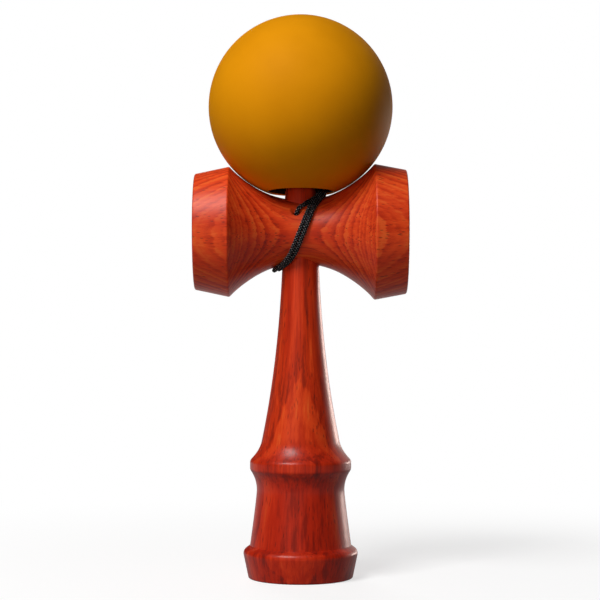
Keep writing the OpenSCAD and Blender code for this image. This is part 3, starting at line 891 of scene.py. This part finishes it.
def padauk(name, figure, rings, deep, sheen, turn, heart, grain):
    """Oiled red wood. turn and heart take the object's coordinates to the log's, and grain is its axis.

    Along the log the wood grows darker from the first to the second height in deep, by its third value,
    with the same tint as the heartwood.
    sheen is the roughness of the oil on it.
    """
    material, n, shader = new_material(name)
    place = n.add("TexCoord").outputs
    feeds = {"Vector": place["Object"], "Location": heart, "Rotation": turn, "Scale": TO_MM}
    log = n.add("Mapping", feeds).outputs["Vector"]
    wood = n.group(figure, {"Vector": log, **rings})
    height = n.add("SeparateXYZ", {"Vector": log}).outputs["Z"]
    heartwood = n.maths("MULTIPLY", wood["Heartwood"], HEARTWOOD_SHARE)
    # Darker along the log towards the handle's foot, as well as in the heartwood.
    darkening = n.maths("MAXIMUM", heartwood, n.spread(height, deep[0], deep[1], 0, deep[2]))
    along = n.add("VectorMath", {0: place["Normal"], 1: grain}, operation="DOT_PRODUCT").outputs["Value"]
    end_grain = n.maths("MULTIPLY", n.maths("MULTIPLY", along, along), END_GRAIN_SHARE)
    colour = n.ramp(wood["Tone"], PADAUK)
    colour = n.colour(darkening, colour, HEARTWOOD_AND_LOW_TINT, "MULTIPLY")
    colour = n.colour(n.maths("MULTIPLY", wood["Pores"], PORE_SHARE), colour, PORE_COLOUR)
    colour = n.colour(end_grain, colour, END_GRAIN_TINT, "MULTIPLY")
    n.feed(shader.inputs["Base Color"], colour)
    fibre_rough = n.maths("MULTIPLY", wood["Fibre"], FIBRE_ROUGH)
    pore_rough = n.maths("MULTIPLY", wood["Pores"], PORE_ROUGH)
    n.feed(shader.inputs["Roughness"], n.total(fibre_rough, WOOD_ROUGH, pore_rough))
    relief = n.maths("SUBTRACT", n.maths("MULTIPLY", wood["Fibre"], FIBRE_RELIEF), wood["Pores"])
    n.bump(shader, relief, *WOOD_BUMP)
    shader.inputs["Specular IOR Level"].default_value = WOOD_SPECULAR
    shader.inputs["Coat Weight"].default_value = OIL_WEIGHT
    shader.inputs["Coat Roughness"].default_value = sheen
    return material


def ball_paint(figure):
    """Matte rubbery paint on the outside, and bare wood inside the holes, where the paint fades. The wood
    there is darkened nearly to black as painted shade.
    """
    material, n, shader = new_material("amber_paint")
    place = n.add("TexCoord").outputs["Object"]
    log = n.add("Mapping", {"Vector": place, "Location": HOLE_HEART, "Scale": TO_MM}).outputs["Vector"]
    wood = n.group(figure, {"Vector": log, **HOLE_RINGS})
    # The wood inside the holes is darkened nearly to black: painted shade in the recess.
    shaded_bare = n.ramp(wood["Tone"], SHADED_BARE_WOOD)
    paint = n.ramp(n.noise(place, *PAINT_CLOUD), AMBER)
    out = n.add("VectorMath", {0: place, 1: (0, 0, BALL_Z)}, operation="DISTANCE").outputs["Value"]
    ragged = n.maths("MULTIPLY", n.noise(place, *PAINT_EDGE_NOISE), PAINT_RAGGED)
    painted = n.spread(n.total(out, ragged), *PAINT_FADE)
    n.feed(shader.inputs["Base Color"], n.colour(painted, shaded_bare, paint))
    grain = n.noise(place, *PAINT_GRAIN)
    n.feed(shader.inputs["Roughness"], n.spread(grain, *NOISE_SPAN, *PAINT_ROUGH))
    n.bump(shader, grain, *PAINT_BUMP)
    shader.inputs["Specular IOR Level"].default_value = PAINT_SPECULAR
    return material


def bead_plastic():
    """Cream plastic with a faint cloud and a fine moulded surface."""
    material, n, shader = new_material("cream_bead")
    place = n.add("TexCoord").outputs["Object"]
    n.feed(shader.inputs["Base Color"], n.ramp(n.noise(place, *CREAM_CLOUD), CREAM))
    grain = n.noise(place, *CREAM_GRAIN)
    n.feed(shader.inputs["Roughness"], n.spread(grain, *NOISE_SPAN, *CREAM_ROUGH))
    n.bump(shader, grain, *CREAM_BUMP)
    return material


def braid_nylon():
    """Black nylon strands with painted highlights on their crests, a little different from strand to
    strand, and painted shade between them, with fine filaments.
    """
    material, n, shader = new_material("black_braid")
    strand = n.add("Attribute", attribute_name="strand").outputs["Fac"]
    height = n.add("Attribute", attribute_name="height").outputs["Fac"]
    # The crests get a light grey as painted highlights, and the grooves a near-black as painted shade.
    painted_highlight = n.spread(height, *NYLON_HIGHLIGHT_TOPS)
    n.feed(shader.inputs["Base Color"], n.colour(painted_highlight, NYLON_GROOVE_SHADE, n.ramp(strand, NYLON_STRAND_HIGHLIGHTS)))
    filament = n.noise(n.add("TexCoord").outputs["Object"], *FILAMENT_NOISE)
    dull = n.maths("MULTIPLY", n.maths("SUBTRACT", 1.0, height), NYLON_DULL)
    n.feed(shader.inputs["Roughness"], n.total(n.spread(filament, *NOISE_SPAN, *NYLON_ROUGH), dull))
    n.bump(shader, filament, *NYLON_BUMP)
    shader.inputs["Specular IOR Level"].default_value = NYLON_SPECULAR
    return material


# Making the pieces

def dressed(piece, body, material, slot, *nodes):
    """Gives the piece its material and body, and hides the nodes that it stands for. Its slot is not used.
    """
    piece.data.materials.clear()
    piece.data.materials.append(material)
    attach(piece, body)
    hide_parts(*nodes)


figure = wood_figure()
ken_wood = padauk("ken_padauk", figure, KEN_RINGS, KEN_DEEP, KEN_SHEEN, **KEN_LOG)
sarado_wood = padauk("sarado_padauk", figure, SARADO_RINGS, SARADO_DEEP, SARADO_SHEEN, **SARADO_LOG)
paint = ball_paint(figure)
cream = bead_plastic()
nylon = braid_nylon()

ken = turned("turned_handle", ken_outline())
dressed(ken, "ken", ken_wood, "ken_wood", "ken")

sarado = turned("turned_cross_piece", sarado_outline(), axis=(1, 0, 0), origin=(0, 0, SARADO_Z))
cut(sarado, [seat_cut(), string_cut(), pocket_cut()])
dressed(sarado, "sarado", sarado_wood, "sarado_wood", "sarado")

ball = turned("painted_ball", ball_outline(), axis=BALL_AXIS, origin=(0, 0, BALL_Z), closed=True)
dressed(ball, "tama", paint, "ball_paint", "tama")

bead = turned("cream_bead", bead_outline(), axis=BALL_AXIS, origin=on_axis(BEAD_TOP - BEAD_H / 2),
              closed=True, sides=BEAD_SIDES)
dressed(bead, "string_end", cream, "bead", "bead")

wind_path = even(eased(even(winding_line()), EASE_ROUNDS))
winding = braided("string_winding", wind_path)
dressed(winding, "sarado", nylon, "string", "cord_lead", "cord_winding")

slack_path = even(through(np.vstack([wind_path[-1:], SLACK_ROUTE])))
slack = braided("string_slack", slack_path)
slack.data.materials.append(nylon)
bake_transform(slack)
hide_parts("cord_slack")

top_end = on_axis(KNOT_H + math.sqrt(BEAD_KNOT_R ** 2 - (CORD_D / 2) ** 2))
top_path = even(through(np.vstack([TOP_ROUTE, top_end])))
top = braided("string_top", top_path)
dressed(top, "string_end", nylon, "string", "cord_top")

end_knot_path = even(knot_line(on_axis(KNOT_H), BALL_AXIS, BEAD_KNOT_R, END_KNOT_D))
end_knot = braided("bead_stop_knot", end_knot_path, END_KNOT_D, end_knot_path - on_axis(KNOT_H))
dressed(end_knot, "string_end", nylon, "string", "bead_knot")

anchor_path = even(knot_line(ANCHOR, STRING_DIR, ANCHOR_KNOT_R, ANCHOR_KNOT_D))
anchor_knot = braided("anchor_stop_knot", anchor_path, ANCHOR_KNOT_D, anchor_path - ANCHOR)
dressed(anchor_knot, "sarado", nylon, "string", "anchor_knot")


# Stage, lights and camera. A lamp: its name, place, size, power, colour and the rays that don't see it

MIDDLE = (0, 0, 0.12)
LAMPS = [
    ("key", (-0.48, -0.64, 1.01), (0.5, 0.5), 12.0, (1, 1, 1), None),
    ("edge_strip", (0.80, 1.05, 0.09), (0.7, 0.22), 1.5, (1.0, 0.80, 0.74), None),
    ("rim_strip", (0.92, 0.95, 0.08), (0.45, 0.2), 3.5, (1.0, 0.74, 0.66), "visible_diffuse"),
    ("front_fill", (-0.40, -1.22, 0.11), (1.2, 0.2), 3.8, (1.0, 0.82, 0.66), "visible_glossy"),
    ("back_fill", (-0.30, 1.3, 0.40), (0.7, 0.7), 8.0, (1, 1, 1), "visible_glossy"),
]
FLOOR_R = 4.0
FLOOR_SIDES = 96
FLOOR_FADE = (0.05, 0.26)
FLOOR_SHADE = (0.42, 0.42, 0.42, 1)
FLOOR_BOUNCE = (0.1, 0.1, 0.1, 1)
FLOOR_LIFT = 0.66
FLOOR_MIRRORED = 0.4
WALL_WAY = (0.643, 0.766, 0)
WALL_EDGE = (0.72, 0.86)
WALL_TINT = (1.0, 0.82, 0.76, 1)
ROOM_LIGHT = 0.03
LENS_MM = 114
SENSOR_MM = 36
CAMERA_PLACE = (-0.0002, -0.620, 0.0905)


def lamp(name, place, size, power, colour, unseen_by):
    """A soft rectangular lamp, turned to the middle of the toy. One kind of ray may not see it."""
    light = bpy.data.lights.new(name, "AREA")
    light.shape = "RECTANGLE"
    light.size, light.size_y = size
    light.energy = power
    light.color = colour
    holder = linked(name, light)
    holder.location = place
    way = point(*place) - point(*MIDDLE)
    tilt = math.atan2(math.hypot(way[0], way[1]), way[2])
    holder.rotation_euler = (tilt, 0, math.atan2(way[1], way[0]) + math.pi / 2)
    if unseen_by:
        setattr(holder, unseen_by, False)


def floor():
    """A round pale floor. Close to the toy it takes its shadow, and further out it is white."""
    a = np.arange(FLOOR_SIDES) * 2 * math.pi / FLOOR_SIDES
    points = np.stack([FLOOR_R * np.cos(a), FLOOR_R * np.sin(a), 0 * a], 1)
    mesh = bpy.data.meshes.new("floor")
    mesh.from_pydata(points.tolist(), [], [list(range(FLOOR_SIDES))])
    material, n = bare_material("pale_floor")
    place = n.add("TexCoord").outputs["Object"]
    away = n.add("VectorMath", {0: place}, operation="LENGTH").outputs["Value"]
    straight, mirrored = n.rays()
    seen = n.maths("MAXIMUM", straight, n.maths("MULTIPLY", mirrored, FLOOR_MIRRORED))
    matte = n.add("BsdfDiffuse", {"Color": n.colour(seen, FLOOR_BOUNCE, FLOOR_SHADE)})
    lift = n.add("Emission", {"Color": WHITE, "Strength": n.maths("MULTIPLY", seen, FLOOR_LIFT)})
    near = n.add("AddShader", {0: matte.outputs[0], 1: lift.outputs[0]})
    white = n.add("Emission", {"Color": WHITE, "Strength": 1.0})
    share = n.maths("MULTIPLY", seen, n.spread(away, *FLOOR_FADE))
    shader = n.add("MixShader", {0: share, 1: near.outputs[0], 2: white.outputs[0]})
    n.add("OutputMaterial", {"Surface": shader.outputs[0]})
    mesh.materials.append(material)
    linked("floor", mesh)


def surroundings():
    """A dim room with a wide white wall behind the toy and to its right, and all white to the camera."""
    world = bpy.data.worlds.new("studio")
    world.use_nodes = True
    world.node_tree.nodes.clear()
    n = Nodes(world.node_tree)
    way = n.add("TexCoord").outputs["Generated"]
    facing = n.add("VectorMath", {0: way, 1: WALL_WAY}, operation="DOT_PRODUCT").outputs["Value"]
    wall = n.spread(facing, *WALL_EDGE)
    straight, mirrored = n.rays()
    seen = n.maths("MAXIMUM", straight, n.maths("MULTIPLY", mirrored, wall))
    dim = n.add("Background", {"Color": WHITE, "Strength": ROOM_LIGHT})
    white = n.add("Background", {"Color": n.colour(mirrored, WHITE, WALL_TINT), "Strength": 1.0})
    shader = n.add("MixShader", {0: seen, 1: dim.outputs[0], 2: white.outputs[0]})
    n.add("OutputWorld", {"Surface": shader.outputs[0]})
    bpy.context.scene.world = world


def camera():
    """Level with the middle of the toy and straight in front of it, with a long lens."""
    data = bpy.data.cameras.new("camera")
    data.lens = LENS_MM
    data.sensor_width = SENSOR_MM
    holder = linked("camera", data)
    holder.location = CAMERA_PLACE
    holder.rotation_euler = (math.pi / 2, 0, 0)
    bpy.context.scene.camera = holder


for facts in LAMPS:
    lamp(*facts)
floor()
surroundings()
camera()
bpy.context.scene.view_settings.view_transform = "Standard"
